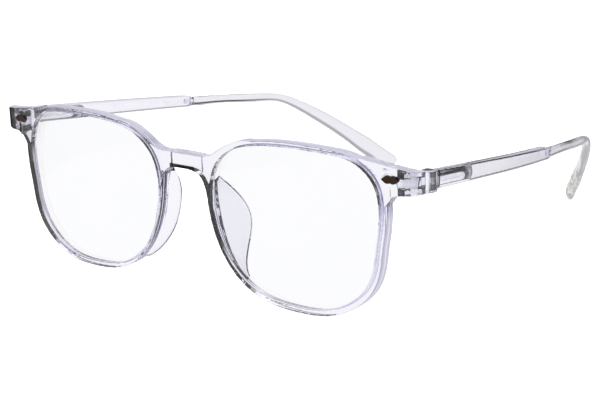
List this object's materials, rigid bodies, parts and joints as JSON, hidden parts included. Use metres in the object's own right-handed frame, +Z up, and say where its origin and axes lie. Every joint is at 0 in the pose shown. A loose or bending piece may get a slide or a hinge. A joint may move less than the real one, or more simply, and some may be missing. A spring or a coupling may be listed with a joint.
{
  "type": "clear light-filtering glasses",
  "caption": "Clear full-rim glasses with flat squarish lenses, swept nose fins, dark lozenge studs, sprung hinges and slim down-turned tips.",
  "frame": {"origin": "middle of the glasses' outline on the table, where the rim bottoms and the tip ends touch Z = 0", "axes": "+X to the wearer's left, +Y back along the open temples, +Z up from the table"},
  "size_m": [0.1448, 0.1422, 0.0445],
  "materials": {
    "clear_plastic": "polished, clear with a faint violet-grey cast",
    "tip_plastic": "satin, clear and slightly milky, yellowing a little at the end",
    "lens": "polished with a faint blue-violet coating",
    "stud": "dark bronze, polished",
    "hinge_metal": "plated, slightly worn",
    "bright_metal": "polished",
    "spring_steel": "drawn wire"
  },
  "bodies": {
    "front": {"frame_front": "clear_plastic", "lens_left": "lens", "lens_right": "lens", "stud_left": "stud", "stud_right": "stud", "hinge_front_left": "hinge_metal", "hinge_front_right": "hinge_metal"},
    "screw_left": {"hinge_screw_left": "hinge_metal"},
    "carrier_left": {"spring_carrier_left": "hinge_metal", "spring_nut_left": "hinge_metal", "spring_left": "spring_steel"},
    "arm_left": {"spring_case_left": "bright_metal", "temple_left": "clear_plastic", "temple_tip_left": "tip_plastic"},
    "screw_right": {"hinge_screw_right": "hinge_metal"},
    "carrier_right": {"spring_carrier_right": "hinge_metal", "spring_nut_right": "hinge_metal", "spring_right": "spring_steel"},
    "arm_right": {"spring_case_right": "bright_metal", "temple_right": "clear_plastic", "temple_tip_right": "tip_plastic"}
  },
  "joints": [
    {"name": "fold_left", "type": "hinge", "parent": "front", "child": "screw_left", "pos_m": [0.0694, -0.05825, 0.03746], "axis": [0, -0.0294, 0.9996], "range_deg": [0, 78]},
    {"name": "flex_left", "type": "hinge", "parent": "screw_left", "child": "carrier_left", "pos_m": [0.0694, -0.05825, 0.03746], "axis": [0, 0.0294, -0.9996], "range_deg": [0, 8], "stiffness_Nm_per_rad": 0.05},
    {"name": "draw_left", "type": "slide", "parent": "carrier_left", "child": "arm_left", "axis": [-0.0523, 0.9945, -0.0908], "range_m": [0, 0.0004], "deforming": ["spring_left"]},
    {"name": "fold_right", "type": "hinge", "parent": "front", "child": "screw_right", "pos_m": [-0.0694, -0.05825, 0.03746], "axis": [0, 0.0294, -0.9996], "range_deg": [0, 64]},
    {"name": "flex_right", "type": "hinge", "parent": "screw_right", "child": "carrier_right", "pos_m": [-0.0694, -0.05825, 0.03746], "axis": [0, -0.0294, 0.9996], "range_deg": [0, 8], "stiffness_Nm_per_rad": 0.05},
    {"name": "draw_right", "type": "slide", "parent": "carrier_right", "child": "arm_right", "axis": [0.0523, 0.9945, -0.0908], "range_m": [0, 0.0004], "deforming": ["spring_right"]}
  ],
  "couplings": [
    {"joint": "draw_left", "follows": "flex_left", "m_per_rad": 0.0026},
    {"joint": "draw_right", "follows": "flex_right", "m_per_rad": 0.0026}
  ]
}
